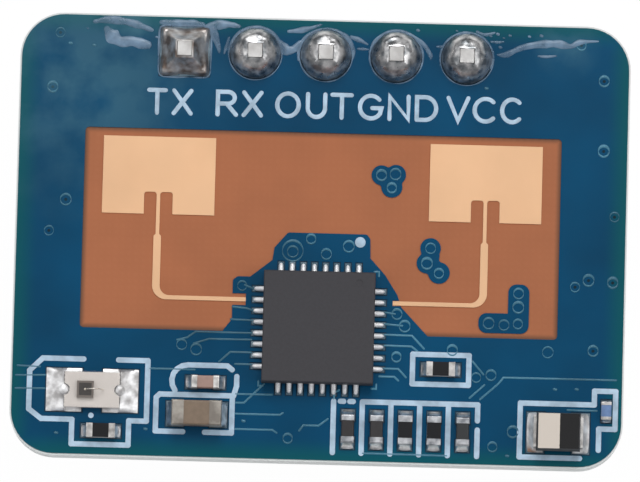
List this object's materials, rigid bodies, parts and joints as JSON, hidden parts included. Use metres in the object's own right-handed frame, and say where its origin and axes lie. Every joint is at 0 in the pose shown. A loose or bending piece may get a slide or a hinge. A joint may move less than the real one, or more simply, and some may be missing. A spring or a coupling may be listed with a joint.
{
  "type": "microwave radar sensor module",
  "caption": "Small circuit board with two patch antennas, a radar chip, a light sensor, chip parts and a pin header soldered through from the back.",
  "frame": {"origin": "middle of the pin header's seating face, on the middle pin's axis", "axes": "+X along the row of pins, +Y towards the header's edge of the board, +Z out of the board's front face"},
  "size_m": [0.022, 0.016, 0.0107],
  "materials": {
    "laminate": "satin",
    "solder_mask": "gloss",
    "tinned_copper": "satin",
    "antenna_gold": "satin",
    "white_ink": "matte",
    "header_plastic": "satin",
    "pin_metal": "bright",
    "hand_solder": "bright, wetted",
    "chip_mould": "matte",
    "reflow_solder": "bright",
    "tinned_ends": "matte tin",
    "white_laminate": "satin",
    "clear_epoxy": "clear",
    "silicon": "polished",
    "bond_gold": "bright",
    "resistor_black": "glazed",
    "ceramic_pink": "fired ceramic",
    "ceramic_tan": "fired ceramic",
    "ceramic_grey": "fired ceramic",
    "capacitor_mould": "moulded, with a pale band",
    "resistor_blue": "glazed"
  },
  "bodies": {
    "root": {"board": "laminate", "front_solder_mask": "solder_mask", "back_solder_mask": "solder_mask", "copper_pads": "tinned_copper", "silkscreen_outlines": "white_ink", "tx_patch_antenna": "antenna_gold", "rx_patch_antenna": "antenna_gold", "header_housing": "header_plastic", "pin_tx": "pin_metal", "pin_rx": "pin_metal", "pin_out": "pin_metal", "pin_gnd": "pin_metal", "pin_vcc": "pin_metal", "solder_joint_tx": "hand_solder", "solder_joint_rx": "hand_solder", "solder_joint_out": "hand_solder", "solder_joint_gnd": "hand_solder", "solder_joint_vcc": "hand_solder", "radar_chip": "chip_mould", "radar_chip_leads": "tinned_ends", "radar_chip_solder": "reflow_solder", "light_sensor_base": "white_laminate", "light_sensor_terminals": "tinned_ends", "light_sensor_lens": "clear_epoxy", "light_sensor_die": "silicon", "light_sensor_wire": "bond_gold", "light_sensor_solder": "reflow_solder", "sensor_resistor": "resistor_black", "sensor_resistor_ends": "tinned_ends", "side_resistor": "resistor_black", "side_resistor_ends": "tinned_ends", "small_capacitor": "ceramic_pink", "small_capacitor_ends": "tinned_ends", "large_capacitor": "ceramic_tan", "large_capacitor_ends": "tinned_ends", "row_capacitor_1": "ceramic_grey", "row_capacitor_1_ends": "tinned_ends", "row_capacitor_2": "ceramic_grey", "row_capacitor_2_ends": "tinned_ends", "row_resistor_1": "resistor_black", "row_resistor_1_ends": "tinned_ends", "row_resistor_2": "resistor_black", "row_resistor_2_ends": "tinned_ends", "row_capacitor_3": "ceramic_grey", "row_capacitor_3_ends": "tinned_ends", "power_capacitor": "capacitor_mould", "power_capacitor_ends": "tinned_ends", "tiny_resistor": "resistor_blue", "tiny_resistor_ends": "tinned_ends", "chip_part_solder": "reflow_solder"}
  },
  "joints": []
}
